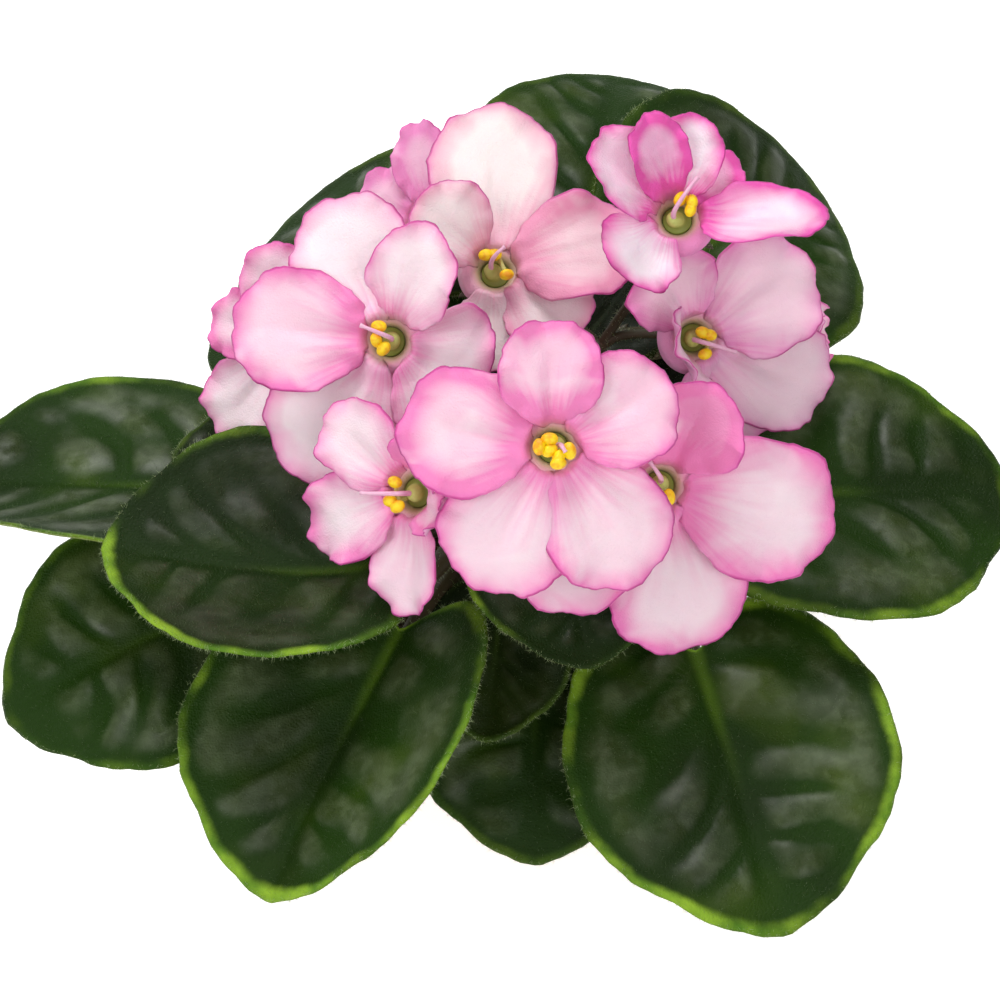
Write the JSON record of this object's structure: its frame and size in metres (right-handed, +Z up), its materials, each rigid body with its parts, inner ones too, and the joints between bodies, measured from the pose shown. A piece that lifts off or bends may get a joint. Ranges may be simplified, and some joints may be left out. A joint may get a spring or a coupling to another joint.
{
  "type": "potted african violet",
  "caption": "Potted African violet: a rosette of round hairy leaves with ruffled pink and white blooms on forked stalks, in a plain clay pot filled with soil.",
  "frame": {"origin": "centre of the pot's underside", "axes": "+Z up along the pot's axis, -Y towards the front of the plant, +X to its right seen from the front"},
  "size_m": [0.1882, 0.1831, 0.1475],
  "materials": {
    "clay": "unglazed, matt",
    "soil": "crumbly, matt",
    "crown": "fleshy, satin",
    "leaf": "quilted and hairy, soft sheen",
    "stalk": "fleshy and hairy, satin",
    "petal": "crystalline, soft sheen",
    "anther": "satin",
    "pistil": "satin"
  },
  "bodies": {
    "root": {"pot": "clay", "soil": "soil", "crown": "crown", "leaf_01_left": "leaf", "leaf_02_front_left_low": "leaf", "leaf_03_left_upper": "leaf", "leaf_04_front_left": "leaf", "leaf_05_front_low": "leaf", "leaf_06_front_right": "leaf", "leaf_07_right": "leaf", "leaf_08_back_right": "leaf", "leaf_09_back": "leaf", "leaf_10_back_left": "leaf", "leaf_11_left_back": "leaf", "leaf_12_left_young": "leaf", "leaf_13_front_young": "leaf", "leaf_14_front_inner": "leaf", "leaf_15_back_right_inner": "leaf", "leaf_16_right_inner": "leaf", "leaf_17_front_right_inner": "leaf", "leaf_18_crown": "leaf", "leaf_19_crown": "leaf", "leaf_20_crown": "leaf", "flower_stalk_01_front": "stalk", "flower_stalk_02_left": "stalk", "flower_stalk_03_back": "stalk", "flower_stalk_04_right": "stalk", "bloom_01_front_petals": "petal", "bloom_01_front_stamens": "anther", "bloom_01_front_pistil": "pistil", "bloom_02_front_right_petals": "petal", "bloom_02_front_right_stamens": "anther", "bloom_02_front_right_pistil": "pistil", "bloom_03_left_petals": "petal", "bloom_03_left_stamens": "anther", "bloom_03_left_pistil": "pistil", "bloom_04_back_petals": "petal", "bloom_04_back_stamens": "anther", "bloom_04_back_pistil": "pistil", "bloom_05_back_right_petals": "petal", "bloom_05_back_right_stamens": "anther", "bloom_05_back_right_pistil": "pistil", "bloom_06_right_petals": "petal", "bloom_06_right_stamens": "anther", "bloom_06_right_pistil": "pistil", "bloom_07_front_left_petals": "petal", "bloom_07_front_left_stamens": "anther", "bloom_07_front_left_pistil": "pistil", "bloom_08_left_behind_petals": "petal", "bloom_08_left_behind_stamens": "anther", "bloom_08_left_behind_pistil": "pistil", "bloom_09_back_left_petals": "petal", "bloom_09_back_left_stamens": "anther", "bloom_09_back_left_pistil": "pistil", "bloom_10_right_behind_petals": "petal", "bloom_10_right_behind_stamens": "anther", "bloom_10_right_behind_pistil": "pistil"}
  },
  "joints": []
}
